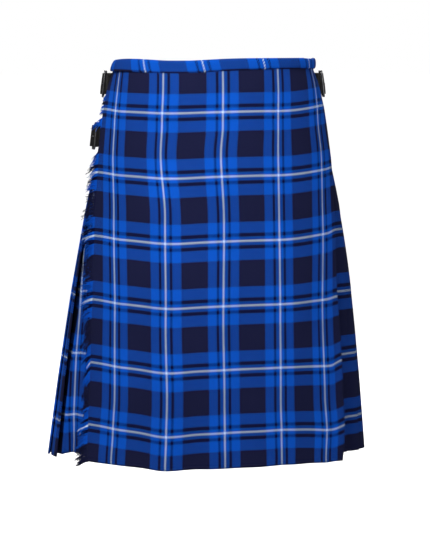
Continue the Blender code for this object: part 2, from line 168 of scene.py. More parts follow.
def pleatCourse(drop):
    # the line of the pleats' folds; 0 under the over apron's fold at the wearer's left
    edge = loopCourse(drop).spot(sizeAt("apronRight", drop))
    start = math.degrees(math.atan2(edge[0] / sizeAt("halfWidth", drop),
                                    -edge[1] / sizeAt("frontDepth", drop)))
    lastFold, curled = pleatShape["lastFoldAngle"], pleatShape["curlAngle"]
    degrees = np.linspace(start - 45.0, lastFold + 6.0, 500)
    tuck = sizeAt("rightTuck", drop) * (1.0 - ease((degrees - 60.0) / 37.0))
    flare = sizeAt("leftFlare", drop) * ease((degrees - 200.0) / 60.0)
    curl = sizeAt("curl", drop) * ease((degrees - lastFold + curled) / curled)
    course = ovalCourse(drop, degrees, sizeAt("backInset", drop) + tuck - flare + curl)
    course.along -= np.interp(start, degrees, course.along)
    course.reveal = float(np.interp(lastFold, degrees, course.along)) / pleatShape["count"]
    return course


def underCourse(drop):
    angles = np.radians(np.arange(-100, 101))
    return Course(sizeAt("underWidth", drop) * np.sin(angles),
                  -sizeAt("underDepth", drop) * np.cos(angles), 100)


class Wire:
    # one shader socket; sums written on it add Math nodes
    def __init__(self, tree, socket=None):
        self.tree = tree
        self.socket = socket

    def node(self, kind, settings=None, sockets=None, output=0):
        made = self.tree.nodes.new("ShaderNode" + kind)
        for name, value in (settings or {}).items():
            if name == "stops":
                ramp = made.color_ramp
                while len(ramp.elements) < len(value):
                    ramp.elements.new(1.0)
                for stop, (place, colour) in zip(ramp.elements, value):
                    stop.position = place
                    stop.color = (*colour, 1.0)
            elif name == "steps":
                made.color_ramp.interpolation = value
            else:
                setattr(made, name, value)
        for key, value in (sockets or {}).items():
            if isinstance(value, Wire):
                self.tree.links.new(value.socket, made.inputs[key])
            else:
                made.inputs[key].default_value = value
        return Wire(self.tree, made.outputs[output])

    def math(self, operation, *values):
        return self.node("Math", {"operation": operation}, dict(enumerate(values)))

    def mix(self, factor, first, second, how="MIX"):
        return self.node("Mix", {"data_type": "RGBA", "blend_type": how},
                         {0: factor, 6: first, 7: second}, 2)

    def __add__(self, other):
        return self.math("ADD", self, other)

    __radd__ = __add__

    def __sub__(self, other):
        return self.math("SUBTRACT", self, other)

    def __rsub__(self, other):
        return self.math("SUBTRACT", other, self)

    def __mul__(self, other):
        return self.math("MULTIPLY", self, other)

    __rmul__ = __mul__

    def __truediv__(self, other):
        return self.math("DIVIDE", self, other)

    def __mod__(self, other):
        return self.math("FLOORED_MODULO", self, other)

    def __lt__(self, other):
        return self.math("LESS_THAN", self, other)

    def __abs__(self):
        return self.math("ABSOLUTE", self)


def linear(red, green, blue):
    # screen colour to light
    return tuple(c / 12.92 if c <= 0.04045 else ((c + 0.055) / 1.055) ** 2.4
                 for c in (red / 255, green / 255, blue / 255))


def startFinish(name, fixed):
    # a material with its constants set, its shader, and the object's own coordinates
    material = bpy.data.materials.new(name)
    material.use_nodes = True
    tree = material.node_tree
    shader = tree.nodes["Principled BSDF"]
    for socket, value in fixed.items():
        shader.inputs[socket].default_value = value
    return material, shader, Wire(tree).node("TexCoord", None, None, 3)


def feed(shader, links):
    for socket, wire in links.items():
        wire.tree.links.new(wire.socket, shader.inputs[socket])


def cloud(body, scale, detail):
    return body.node("TexNoise", None, {"Vector": body, "Scale": scale, "Detail": detail})


def blend(factor, first, second):
    return factor.mix(factor, (*linear(*first), 1.0), (*linear(*second), 1.0))


def relief(height, strength, distance):
    return height.node("Bump", None, {"Strength": strength, "Distance": distance, "Height": height})


# the sett runs white, blue, dark, blue, navy and back; stops are shares of half a repeat
tartan = {
    "warpRepeat": 85.4 * mm,
    "weftRepeat": 94.1 * mm,
    "thread": 0.85 * mm,
    "white": linear(212, 232, 255),
    "blue": linear(12, 91, 209),
    "dark": linear(9, 18, 60),
    "navy": linear(28, 31, 65),
    "warpStops": (("white", 0.0), ("blue", 0.030), ("dark", 0.146), ("blue", 0.236), ("navy", 0.538)),
    "weftStops": (("white", 0.0), ("blue", 0.034), ("dark", 0.132), ("blue", 0.244), ("navy", 0.588)),
    # base shade, how much painted shade darkens each yarn off its crown where it dips beside its neighbours,
    # and how much fine flecks and broad clouds change the tone at random
    "shade": (0.80, 0.22, 0.34, 0.30),
    "fleckScale": 900.0,
    "cloudScale": 11.0,
    "bump": (0.35, 0.25 * mm),
    "roughness": (0.78, 0.18),
}


def settColour(place, repeat, stops):
    # colour of the yarn that lies at this place of a mirrored sett
    turn = (place / repeat + 0.5) % 1.0
    side = abs(turn - 0.5) * 2.0
    return side.node("ValToRGB", {"stops": [(share, tartan[name]) for name, share in stops],
                                  "steps": "CONSTANT"}, {0: side})


def crownOf(turn):
    # roundness of a yarn across its width
    across = 2.0 * (turn % 1.0) - 1.0
    return 1.0 - across * across


def woolFinish(name, weftOnly=False):
    material, shader, body = startFinish(name, {
        "Specular IOR Level": 0.07, "Sheen Weight": 0.012, "Sheen Tint": (0.45, 0.62, 1.0, 1.0)})
    chart = body.node("UVMap", {"uv_map": "cloth"})
    u = chart.node("SeparateXYZ", None, {0: chart})
    v = Wire(u.tree, u.socket.node.outputs[1])
    colour = settColour(v, tartan["weftRepeat"], tartan["weftStops"])
    weft = v / tartan["thread"]
    height = crownOf(weft)
    if not weftOnly:
        warp = u / tartan["thread"]
        over = ((warp.math("FLOOR", warp) + weft.math("FLOOR", weft)) % 4.0) < 1.5  # two over, two under
        colour = over.mix(over, colour, settColour(u, tartan["warpRepeat"], tartan["warpStops"]))
        height = over * crownOf(warp) + (1.0 - over) * height
    base, paintedYarnShade, byFleck, byCloud = tartan["shade"]
    fleck = cloud(body, tartan["fleckScale"], 2.0)
    wander = cloud(body, tartan["cloudScale"], 3.0)
    # the yarns' height paints shade into the colour, darker toward each yarn's edges; flecks and clouds are
    # random tone
    shade = base + paintedYarnShade * height + (fleck - 0.5) * byFleck + (wander - 0.5) * byCloud
    grey = shade.node("CombineXYZ", None, {0: shade, 1: shade, 2: shade})
    smooth, rougher = tartan["roughness"]
    feed(shader, {"Base Color": colour.mix(1.0, colour, grey, "MULTIPLY"),
                  "Normal": relief(height + fleck * 0.8, *tartan["bump"]),
                  "Roughness": smooth + fleck * rougher})
    return material


def leatherFinish():
    material, shader, body = startFinish("blackLeather", {
        "Specular IOR Level": 0.26, "Coat Weight": 0.03, "Coat Roughness": 0.35})
    cells = body.node("TexVoronoi", {"feature": "DISTANCE_TO_EDGE"}, {"Vector": body, "Scale": 1100.0})
    patch = cloud(body, 60.0, 5.0)
    worn = body.node("NewGeometry", None, None, 7)  # pointiness: edges go paler
    edge = worn.math("MULTIPLY_ADD", worn, 6.0, -3.05)
    edge = edge.math("MINIMUM", edge.math("MAXIMUM", edge, 0.0), 1.0)
    colour = edge.mix(edge * 0.4, blend(patch, (9, 9, 10), (33, 31, 30)), (*linear(58, 52, 48), 1.0))
    grain = cells.math("MINIMUM", cells * 6.0, 1.0)
    feed(shader, {"Base Color": colour, "Roughness": 0.32 + patch * 0.28,
                  "Normal": relief(grain + patch * 0.5, 0.7, 0.16 * mm)})
    return material


def nickelFinish():
    material, shader, body = startFinish("nickelPlate", {"Metallic": 1.0})
    smear = cloud(body, 140.0, 6.0)
    scratch = cloud(body, 2200.0, 2.0)
    # painted shade: the plate is coloured far darker than bare nickel, standing in for the dark surroundings
    # it reflects; the smears vary it at random
    feed(shader, {"Base Color": blend(smear, (96, 96, 102), (150, 148, 145)),
                  "Roughness": 0.16 + smear * 0.14, "Normal": relief(scratch, 0.08, 0.05 * mm)})
    return material


def threadFinish():
    material, shader, body = startFinish("blackThread", {"Specular IOR Level": 0.35})
    twist = body.node("TexWave", None, {"Vector": body, "Scale": 900.0, "Distortion": 2.0})
    feed(shader, {"Base Color": blend(twist, (30, 30, 34), (78, 78, 84)), "Roughness": 0.45 + twist * 0.2})
    return material


wool = woolFinish("tartanWool")
yarn = woolFinish("fringeYarn", weftOnly=True)
leather = leatherFinish()
nickel = nickelFinish()
thread = threadFinish()
print("finishes made")


def addObject(name, data):
    item = bpy.data.objects.new(name, data)
    bpy.context.scene.collection.objects.link(item)
    return item


def place(name, mesh, material):
    mesh.materials.append(material)
    mesh.shade_smooth()
    return addObject(name, mesh)


def applyModifiers(item):
    ready = bpy.data.meshes.new_from_object(item.evaluated_get(bpy.context.evaluated_depsgraph_get()))
    item.modifiers.clear()
    item.data = ready


def squareUp(mesh):
    # turn every face outward
    builder = bmesh.new()
    builder.from_mesh(mesh)
    bmesh.ops.recalc_face_normals(builder, faces=builder.faces)
    builder.to_mesh(mesh)
    builder.free()


def gridFaces(rows, places, rounded=False, joined=False):
    # faces over a grid of points; rounded closes each row, joined the last row to the first
    index = np.arange(rows * places).reshape(rows, places)
    if joined:
        index = np.vstack((index, index[:1]))
    if rounded:
        index = np.column_stack((index, index[:, :1]))
    faces = np.stack((index[:-1, :-1], index[1:, :-1], index[1:, 1:], index[:-1, 1:]), -1)
    return faces.reshape(-1, 4).tolist()


def meshOf(name, points, faces, chart=None):
    # chart: each point's place on the flat cloth
    mesh = bpy.data.meshes.new(name)
    mesh.from_pydata(np.reshape(points, (-1, 3)).tolist(), [], faces)
    if chart is not None:
        layer = mesh.uv_layers.new(name="cloth")
        corners = np.empty(len(mesh.loops), np.int32)
        mesh.loops.foreach_get("vertex_index", corners)
        flat = np.reshape(chart, (-1, 2)).astype(np.float32)
        layer.data.foreach_set("uv", flat[corners].reshape(-1))
    return mesh


def tubes(name, rings, material, joined=False, each=None, chart=None):
    # a skin over rings of points, closed at its ends or joined; each: the rings of one tube
    count, sides = np.shape(rings)[:2]
    each = each or count
    once = gridFaces(each, sides, True, joined)
    if not joined:
        once += [list(range(sides)), list(range((each - 1) * sides, each * sides))[::-1]]
    faces = [[start * sides + corner for corner in face] for start in range(0, count, each) for face in once]
    mesh = meshOf(name, rings, faces, chart)
    squareUp(mesh)
    return place(name, mesh, material)


def hangCloth(name, node, shape, rowAt, *which):
    # rowAt gives a row's places, its rise at the hem, its place on the flat cloth and how low it hangs
    rows, chart = [], []
    for drop in np.linspace(clothTop, hemDrop, shape["rows"]):
        spots, rise, flat, low = rowAt(drop, *which)
        rows.append(np.column_stack((spots, rise * (drop / hemDrop) ** 4 - drop)))  # it dies out upward
        up = hemDrop - drop - apronShape["firstWeft"] + low
        chart.append(np.column_stack(np.broadcast_arrays(flat, up)))
    item = place(name, meshOf(name, rows, gridFaces(*np.shape(rows)[:2]), chart), wool)
    shell = item.modifiers.new("thickness", "SOLIDIFY")
    shell.thickness = shape["thickness"]
    shell.offset = 0.0
    shell.use_even_offset = True
    applyModifiers(item)
    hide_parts(node)
    return item, (float(runOf(rows[-1][:, :2])[-1]), hemDrop - clothTop)


apronShape = {
    "rows": 150,
    "places": 200,
    "thickness": 0.9 * mm,
    "fray": (1.2 * mm, 90.0),  # unevenness of the raw edge: size, how often
    "returnWidth": 45 * mm,
    "returnPlaces": 16,
    "ridgePlace": -80 * mm,
    "ridgeWidth": 30 * mm,
    # soft waves down the front: crest, length, height, and where they start and over what width
    "waveCrest": -8 * mm,
    "waveLong": 108 * mm,
    "waveHigh": 2.4 * mm,
    "waveFrom": (-55 * mm, 35 * mm),
    "ripple": (0.8 * mm, 97.0, 2.1, 0.8),  # small waves: height, how often, start, lean
    "hollowBack": 20 * mm,  # soft hollow beside the fold
    "hollowWidth": 11 * mm,
    "hollowDeep": 3.2 * mm,
    "chartZero": -9 * mm,  # front middle of the cloth's chart
    "whiteLine": 13.4 * mm,  # first white warp line to the wearer's left of it
    "firstWeft": 54.2 * mm,  # lowest white weft line above the hem
    # how far the cloth has shifted sideways, mm: a row for each drop, a column for each place
    "driftDrops": (34, 100, 141, 234, 386, 504, 555, 600),
    "driftPlaces": (-166, -81, 4, 90, 175),
    "drift": ((0.0, 1.9, -1.9, -2.9, 0.5), (2.9, 4.3, -0.9, -1.1, 3.9), (4.0, 6.7, 2.2, -0.3, 0.3),
              (1.9, 0.3, -0.9, 0.0, 1.8), (-1.5, -1.0, 1.3, 0.2, 8.4), (-2.6, -4.0, -0.4, -0.2, 6.0),
              (-0.2, -3.0, -1.0, -1.6, 2.8), (2.3, -1.9, -1.8, -2.5, 5.5)),
    # its lines hang this much lower in the ridge, mm; the ridge's place and width
    "sag": 3.8,
    "sagPlace": (-75 * mm, 50 * mm),
    # they rise this much toward the raw edge, mm; from where, over what width
    "leftRise": 2.6,
    "leftRiseFrom": (-150 * mm, 50 * mm),
    # toward the waist, mm: everywhere, and most at this place
    "topRise": (0.9, 1.3),
    "topPlace": (66 * mm, 55 * mm),
    # toward the fold, mm, at these drops
    "riseDrops": (80, 170, 270, 370, 465, 560),
    "rightRise": (8.2, 7.4, 6.6, 3.0, -3.6, -6.2),
    "rightRiseFrom": (85 * mm, 125 * mm),
    # and right at the fold
    "foldRise": (0.0, 1.5, 3.5, 2.0, 7.0, 5.4),
    "foldRiseWidth": 27 * mm,
    # how far the fold stands out past its line, mm
    "foldDrops": (160, 250, 343, 428, 500, 545, 585, 604),
    "foldShift": (0.0, -3.2, -8.0, -2.5, 0.3, 3.4, 2.6, -0.5),
    # how far the hem is drawn up, mm, at places along
    "hemPlaces": (-215, -150, -110, -80, 0, 60, 95, 130, 170, 206),
    "hemRise": (2.8, 1.5, 0.5, 0.0, 1.5, 2.0, 4.0, 3.0, 0.5, 0.5),
}


def frontRelief(along, drop):
    # how far the hanging cloth stands off its plain line
    shape = apronShape
    hang = drop / hemDrop
    start, width = shape["waveFrom"]
    waves = shape["waveHigh"] * ease(hang * 1.5 - 0.25) * ease((along - start) / width)
    high, often, first, lean = shape["ripple"]
    beside = sizeAt("apronRight", drop) - shape["hollowBack"]
    hollow = shape["hollowDeep"] * ease(hang * 1.6 - 0.5)
    return (sizeAt("ridge", drop) * hump((along - shape["ridgePlace"]) / shape["ridgeWidth"])
            + waves * np.cos(2 * math.pi * (along - shape["waveCrest"]) / shape["waveLong"])
            + high * hang**2 * np.sin(along * often + first + hang * lean)
            - hollow * hump((along - beside) / shape["hollowWidth"]))


def apronRightAt(drop):
    shift = easeTable(drop / mm, apronShape["foldDrops"], apronShape["foldShift"])
    return sizeAt("apronRight", drop) + float(shift) * mm


def sagAt(along, drop):
    # how much lower the weft lines hang
    shape = apronShape
    middle, width = shape["sagPlace"]
    low = shape["sag"] * hump((along - middle) / width) * (0.35 + 0.65 * ease(drop / 0.25))
    start, width = shape["leftRiseFrom"]
    low = low - shape["leftRise"] * ease((start - along) / width)
    (allOver, most), (middle, width) = shape["topRise"], shape["topPlace"]
    low = low - (allOver + most * hump((along - middle) / width)) * (1.0 - drop / hemDrop)
    right, fold = (np.interp(drop / mm, shape["riseDrops"], shape[key]) for key in ("rightRise", "foldRise"))
    start, width = shape["rightRiseFrom"]
    low = low - right * ease((along - start) / width)
    width = shape["foldRiseWidth"]
    return (low - fold * ease((along - apronRightAt(drop) + width) / width)) * mm


def overApronRow(drop):
    shape = apronShape
    course = loopCourse(drop)
    right = apronRightAt(drop)
    roll = sizeAt("roll", drop)
    size, often = shape["fray"]
    frayed = size * noise.noise(Vector((drop * often, 0.0, 5.0)))
    along = np.linspace(-sizeAt("apronLeft", drop) + frayed, right - roll, shape["places"])
    # round the fold, then back beneath
    turn = np.radians(np.linspace(0.0, 180.0, 9))[1:]
    bend = course.at(right - roll + roll * np.sin(turn), roll - roll * np.cos(turn))
    back = np.linspace(0.0, shape["returnWidth"], shape["returnPlaces"])[1:]
    beneath = right - roll - back
    under = course.at(beneath, 2 * roll - frontRelief(beneath, drop) * ease(back / (12 * mm)))
    flat = np.concatenate((along, right - roll + roll * turn, right - roll + roll * math.pi + back))
    spots = np.vstack((course.at(along, -frontRelief(along, drop)), bend, under))
    rise = np.interp(np.minimum(flat, right) / mm, shape["hemPlaces"], shape["hemRise"]) * mm
    drift = easeTable(drop / mm, shape["driftDrops"],
                      [np.interp(flat / mm, shape["driftPlaces"], row) for row in shape["drift"]])
    mark = flat - shape["chartZero"] - shape["whiteLine"] + drift * mm
    return spots, rise, mark, sagAt(flat, drop)


pleatShape = {
    "count": 28,
    "perLength": 14,
    "foldReveals": 3,
    "thickness": 0.8 * mm,
    "lastFoldAngle": 277.0,
    "curlAngle": 11.0,
    "rows": 90,
    "facePlaces": 12,
    "returnPlaces": 8,
    "turnPlaces": 5,
    "turnShare": 0.03,  # share of a reveal that the fold's turn takes
    "crown": 1.5 * mm,  # height of each reveal below the stitched part
    "foldMark": 52.7 * mm,  # chart place of the first folds, past a white warp line
    "plainPleats": 5,  # the first pleats all show the same navy stripe
    "setts": 4.734,  # the others step through this many repeats of the sett
    "hemRise": (3.5 * mm, 1.0 * mm, -1.5 * mm),  # first pleats, back middle, last pleats
    # how far the lines hang lower, mm, at these drops, on the first and on the last pleats
    "lowDrops": (300, 362, 456, 550, 605),
    "firstLow": (-9.0, -9.0, -5.6, -0.7, 0.0),
    "lastLow": (-3.0, -4.8, -3.4, -1.7, -1.7),
}


def pleatLow(share, drop):
    first, last = (np.interp(drop / mm, pleatShape["lowDrops"], pleatShape[key])
                   for key in ("firstLow", "lastLow"))
    return (first * ease(1.0 - share * 3.0) + last * ease(share * 3.0 - 2.0)) * mm


def pleatRow(drop, first):
    shape = pleatShape
    last = first + shape["perLength"] - 1
    behind, turned = shape["foldReveals"], shape["turnShare"]
    turn = np.radians(np.linspace(0.0, 180.0, shape["turnPlaces"] + 2))[1:-1]
    course = pleatCourse(drop)
    layer = sizeAt("layer", drop)
    reveal = course.reveal
    plain = shape["plainPleats"]
    step = shape["setts"] * tartan["warpRepeat"] / (shape["count"] - plain)
    parts = []  # place along, depth and place on the flat cloth
    for pleat in range(first, last + 1):
        mark = shape["foldMark"] + step * max(0, pleat - plain)
        face = np.linspace(pleat - behind, pleat - turned, shape["facePlaces"])
        parts.append((face * reveal, 2 * (pleat - face) * layer, mark - (pleat - face) * reveal))
        parts.append((pleat * reveal - turned * reveal + 0.5 * layer * np.sin(turn),
                      0.5 * layer * (1 - np.cos(turn)), mark + 0.5 * layer * (turn - 0.5 * math.pi)))
        under = np.linspace(pleat - turned, pleat - behind + 1.0, shape["returnPlaces"])
        parts.append((under * reveal, (2 * (pleat - under) + 1) * layer, mark + (pleat - under) * reveal))
        if pleat < last:
            end = under[-1:]
            parts.append((end * reveal - 0.5 * layer, (2 * (pleat - end) + 1.5) * layer,
                          mark + (pleat - end) * reveal + layer))
    along, depth, flat = (np.concatenate(part) for part in zip(*parts))
    station = along / reveal
    share = station / shape["count"]
    crown = ease((drop - 0.20) / 0.35) * shape["crown"] * np.sin(math.pi * (station % 1.0)) ** 2
    rise = np.interp(share, (0.0, 0.5, 1.0), shape["hemRise"])
    return course.at(along, depth - crown), rise, flat, pleatLow(share, drop)


overApron, overFlat = hangCloth("overApronCloth", "over_apron", apronShape, overApronRow)
overFlat = (sizeAt("apronLeft", hemDrop) + sizeAt("apronRight", hemDrop) + apronShape["returnWidth"],
            overFlat[1])
print("over apron made")
pleatsLeft, pleatsLeftFlat = hangCloth("pleatsLeftCloth", "pleats_left", pleatShape, pleatRow, 1)
pleatsRight, pleatsRightFlat = hangCloth("pleatsRightCloth", "pleats_right", pleatShape, pleatRow,
                                         1 + pleatShape["perLength"])
print("pleats made")

underShape = {
    "rows": 100,
    "places": 110,
    "thickness": 0.9 * mm,
    # it folds forward beside the last pleat: drops, where the fold stands, its chart's place, mm
    "lipDrops": (250, 300, 352, 388, 449, 544, 605),
    "lipSide": (-192.5, -199, -203.7, -207.1, -217.2, -228.1, -233.4),
    "chartZero": (54, 58, 60, 60, 59, 54.7, 48.5),
    "lipFront": -26 * mm,
    "lipRound": 2.6 * mm,
    "lipFrom": (0.235, 0.060),  # drop where the fold begins, and over how much it forms
    "lowDrops": (300, 362, 456, 550, 605),
    "low": (-8.0, -11.0, -9.2, -6.9, -6.0),
    "hollowDeep": 20 * mm,
    "hollowLow": 5 * mm,  # the hem hangs this much lower in the hollow
    "hemRise": (4.5 * mm, 8.2 * mm, 12 * mm),  # at its fold, further forward, over this width
}


def underApronRow(drop):
    shape = underShape
    count = pleatShape["count"]
    begin, over = shape["lipFrom"]
    bend = shape["lipRound"]
    turns = np.radians((-70, -30, 0, 30, 60, 90, 115))
    pleats = pleatCourse(drop)
    layer = sizeAt("layer", drop)
    folded = float(ease((drop - begin) / over))
    flare = sizeAt("leftFlare", drop) - sizeAt("curl", drop)
    spots = []
    for share in (0.0, 0.5, 1.0):
        depth = 6 * layer + share * (flare - 4 * layer) * (1 - folded) + folded * share * 2 * layer
        spots.append(pleats.at((count - 2 * (1 - share)) * pleats.reveal, depth))
    course = underCourse(drop)
    ahead = course.nearest(spots[-1])
    lipSide, chartZero = (np.interp(drop / mm, shape["lipDrops"], shape[key]) * mm
                          for key in ("lipSide", "chartZero"))
    lip = np.array((lipSide, shape["lipFront"]))
    curve = lip + bend * np.column_stack((1 - np.cos(turns), -np.sin(turns)))
    plain = course.at(np.linspace(ahead + 2 * mm, ahead + 16 * mm, len(turns)))
    spots[-1] = spots[-1] + folded * (lip + (bend, shape["hollowDeep"]) - spots[-1])
    backWall = pleats.at((count - 1.2) * pleats.reveal, 4.2 * layer)
    spots[-2] = spots[-2] + folded * (backWall - spots[-2])
    spots += list(plain + folded * (curve - plain))
    start = course.nearest(spots[-1]) + 13 * mm
    spots += list(course.at(np.linspace(start, sizeAt("underRight", drop), shape["places"])))
    spots = np.array(spots)
    run = runOf(spots)
    near, far, width = shape["hemRise"]
    foldStart, foldEnd = run[4], run[2 + len(turns)]
    rise = near + (far - near) * ease((run - foldEnd) / width)
    rise = rise - shape["hollowLow"] * ease((foldStart - run) / (6 * mm))
    low = np.interp(drop / mm, shape["lowDrops"], shape["low"]) * mm
    return spots, rise, run - run[-1] + chartZero, low


underApron, underFlat = hangCloth("underApronCloth", "under_apron", underShape, underApronRow)
print("under apron made")

bandShape = {
    "height": (18.5, 20.5, 18.8, 16.8, 14.8, 18.5),  # mm
    "heightPlaces": (-0.60, -0.19, -0.02, 0.07, 0.19, 0.60),
    "halfThickness": 3.0 * mm,
    "underInset": 5.8 * mm,
    "stackCover": 8.0 * mm,  # more thickness where it covers the pleats' folded tops
    "stations": 520,
    "sides": 32,
    "squareness": 0.72,
    "pucker": ((0.16, 55.0, 3.0), (0.10, 190.0, 9.0)),  # all round, and at its foot: size, how often, seed
    "skew": 0.25,
    "warpStretch": 85.4 / 90.7,
    "warpPlace": 22 * mm,
    "weftPlace": 22.5 * mm,
    "front": 0.2 * mm,  # the rim's front lies this much lower
    "dip": 4.0 * mm,
    "dipPlace": -62 * mm,
    "dipWidth": 62 * mm,
    "backLow": 5.0 * mm,
    "lean": (3.5 * mm, 3.0 * mm, 4),  # at the wearer's right: tilt, shoulder drop, how soon they end
    "knob": (1.7 * mm, 4.5 * mm, 4 * mm),  # small roll by the fold: size, reach, distance from it
}


def rimDip(along, turn):
    # the front of the rim sags a little, to the wearer's right of its middle
    low = bandShape["front"]
    for middle in (bandShape["dipPlace"], turn + bandShape["dipPlace"]):
        low += bandShape["dip"] * hump((along - middle) / bandShape["dipWidth"])
    half = 0.5 * turn
    return low + bandShape["backLow"] * float(ease(1.6 - abs(along - half) / half * 2.2))


def makeWaistband():
    shape = bandShape
    course = loopCourse(0.0)
    left = -sizeAt("apronLeft", 0.0)
    right = sizeAt("apronRight", 0.0)
    turn = float(np.interp(360.0, course.degrees, course.along))
    last = turn + sizeAt("underRight", 0.0)
    backEnd = float(np.interp(pleatShape["lastFoldAngle"], course.degrees, course.along))
    along = np.linspace(left, last, shape["stations"])
    middle = course.at(along, shape["underInset"] * ease((along - right) / (40 * mm)))
    out = course.outward(along)
    cover = ease((along - right - 4 * mm) / (30 * mm)) * (1 - ease((along - backEnd + 4 * mm) / (30 * mm)))
    ring = ringTurns(shape["sides"])
    across = squared(np.cos(ring), shape["squareness"])
    tall = squared(np.sin(ring), shape["squareness"])
    big, reach, back = shape["knob"]
    tilt, shoulder, soon = shape["lean"]
    verts, chart = [], []
    for k, station in enumerate(along):
        half = 0.5 * mm * float(np.interp(station, shape["heightPlaces"], shape["height"]))
        taper = roundEnd(min(station - left, last - station) / (6 * mm))
        pucker, pinch = (1.0 + size * noise.noise(Vector((station * often, seed, 0.0)))
                         for size, often, seed in shape["pucker"])
        knob = big * hump((station - right + back) / reach)
        aside = max(0.0, -middle[k, 0] / sizeAt("halfWidth", 0.0)) ** soon
        thick = shape["halfThickness"] * pucker * taper + knob
        inner = thick + shape["stackCover"] * cover[k]
        spread = np.where(across > 0, across * thick * np.where(tall < -0.2, pinch, 1.0), across * inner)
        z = -half + tall * half * (0.5 + 0.5 * taper) + knob * np.maximum(tall, 0.0)
        z = z - rimDip(station, turn) - shoulder * aside**3 * np.maximum(tall, 0.0)
        spread = spread + tilt * aside * (0.15 - tall)
        verts.append(np.column_stack((middle[k] + spread[:, None] * out[k], z)))
        drop = -half * (tall - 1)
        warp = (station + shape["warpPlace"]) * shape["warpStretch"] - shape["skew"] * (drop - half)
        chart.append(np.stack((warp, shape["weftPlace"] - 0.8 * tall * half), -1))
    item = tubes("waistbandCloth", verts, wool, chart=chart)
    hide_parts("waistband")
    return item


waistband = makeWaistband()
print("waistband made")

fringeShape = {
    "top": 0.056,
    "gaps": ((0.084, 0.090), (0.101, 0.140)),  # yarns are trimmed short between these drops
    "tuft": 6.0 * mm,  # yarns gather in tufts of about this height
    "pitch": 0.62 * mm,
    "radius": 0.56 * mm,
    "joints": 10,
    "sides": 5,
    # length of the yarns, mm, at these drops
    "drops": (56, 88, 96, 150, 172, 200, 240, 272, 350, 400, 456, 500, 550, 605),
    "length": (11, 10, 19, 16, 25, 25, 22, 23, 22, 22, 21, 20, 21, 24),
    # how far the yarns turn down by their tips, radians, and how steeply they stand off
    "droop": (0.5, 0.6, 0.8, 0.8, 0.70, 0.50, 0.50, 0.65, 0.75, 1.0, 1.7, 1.4, 0.8, 0.9),
    "lift": (0.15, 0.25, 0.55, 0.25, 0.22, 0.34, 0.34, 0.26, 0.22, 0.25, 0.20, 0.22, 0.20, 0.25),
    "hangRoom": 14 * mm,
    "pastHem": 7 * mm,
    "sewnBack": 2 * mm,  # the yarns start this far inside the edge
    "closer": (0.576, 0.45),  # below this drop the yarns are closer by this share
}


def makeFringe():
    rng = np.random.default_rng(7)
    shape = fringeShape
    rings, marks = [], []
    joints, sides = shape["joints"], shape["sides"]
    around = ringTurns(sides)[:, None]
    t = np.linspace(0.0, 1.0, joints)
    drop = shape["top"]
    tuftEnd = drop
    while drop < hemDrop - 1.5 * mm:
        if drop >= tuftEnd:
            tuftStart = drop
            tuftEnd = drop + shape["tuft"] * rng.uniform(0.5, 1.5)
            tuftDroop = rng.uniform(-0.30, 0.35)
            tuftLift = rng.uniform(-0.12, 0.22)
            tuftLength = rng.uniform(0.80, 1.18)
        length, droop, lift = (np.interp(drop / mm, shape["drops"], shape[key])
                               for key in ("length", "droop", "lift"))
        trimmed = any(high < drop < low for high, low in shape["gaps"])
        length = length * mm * tuftLength * rng.uniform(0.72, 1.12) * (0.12 if trimmed else 1.0)
        gather = 0.5 * (tuftStart + tuftEnd) - drop  # yarns of a tuft lean together
        droop = droop + tuftDroop + rng.uniform(-0.22, 0.22) + 26.0 * gather
        lift = lift + tuftLift + rng.uniform(-0.10, 0.10)
        curl, phase, wave = rng.uniform(0.1, 0.5), rng.uniform(0, 6.28), rng.uniform(5.0, 9.0)
        course = loopCourse(drop)
        left = -sizeAt("apronLeft", drop)
        out = course.outward(left)
        room = min(1.0, 0.6 + max(0.0, hemDrop - drop) / shape["hangRoom"])
        angle = (droop * (0.15 + 0.85 * t) + curl * np.sin(wave * t + phase) * t) * room
        step = length / (joints - 1)
        run, hang = (np.concatenate(([0.0], np.cumsum(step * part[1:])))
                     for part in (np.cos(angle), np.sin(angle)))
        rise = lift * run + curl * 1.1 * mm * np.sin(wave * t + 2.0 * phase) * t
        rise = np.maximum(rise, -0.6 * mm)
        spots = course.spot(left) + np.outer(run - shape["sewnBack"], (out[1], -out[0])) + np.outer(rise, out)
        line = np.column_stack((spots, np.maximum(-(drop + hang), -hemDrop - shape["pastHem"])))
        ahead = np.gradient(line, axis=0)
        ahead /= np.linalg.norm(ahead, axis=1)[:, None]
        side = np.cross(ahead, (*out, 0.0))
        side /= np.linalg.norm(side, axis=1)[:, None]
        top = np.cross(side, ahead)
        for j in range(joints):
            size = shape["radius"] * rng.uniform(0.9, 1.1) * (1.0 - 0.5 * t[j] ** 2)
            rings.append(line[j] + size * (np.cos(around) * side[j] + np.sin(around) * top[j]))
        mark = (0.0, hemDrop - drop - apronShape["firstWeft"] + sagAt(left, drop))
        marks += [mark] * (joints * sides)
        below, closer = shape["closer"]
        drop += shape["pitch"] * rng.uniform(0.7, 1.3) * (closer if drop > below else 1.0)
    item = tubes("apronFringeYarn", rings, yarn, each=joints, chart=marks)
    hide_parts("apron_fringe")
    return item


fringe = makeFringe()
print("fringe made")

